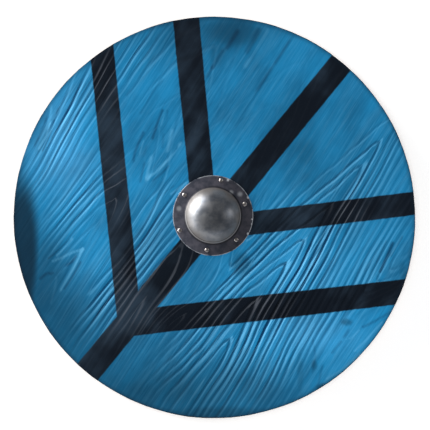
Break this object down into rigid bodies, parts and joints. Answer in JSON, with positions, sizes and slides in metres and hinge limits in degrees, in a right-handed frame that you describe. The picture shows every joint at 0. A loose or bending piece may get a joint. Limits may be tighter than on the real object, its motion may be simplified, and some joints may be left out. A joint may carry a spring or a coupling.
{
  "type": "wooden round shield",
  "caption": "Flat round plywood shield, painted with plain straight bands, with a riveted steel boss over its hand hole and a wooden grip behind.",
  "frame": {"origin": "below the middle of the board, on the surface that the shield lies on", "axes": "+Z out of the painted front, +Y towards the top of the front as it is shown, +X to its right"},
  "size_m": [0.864, 0.864, 0.0745],
  "materials": {
    "painted_plywood": "blue and black paint brushed over open-grained plywood",
    "boss_steel": "dark flange, rubbed bright dome",
    "rivet_steel": "bright domed heads",
    "grip_wood": "bare, worn smooth by the hand",
    "screw_steel": "dull slotted heads"
  },
  "bodies": {
    "root": {"shield_board": "painted_plywood", "boss": "boss_steel", "boss_rivet_1": "rivet_steel", "boss_rivet_2": "rivet_steel", "boss_rivet_3": "rivet_steel", "boss_rivet_4": "rivet_steel", "boss_rivet_5": "rivet_steel", "boss_rivet_6": "rivet_steel", "grip_bar": "grip_wood", "grip_screw_1": "screw_steel", "grip_screw_2": "screw_steel"}
  },
  "joints": []
}
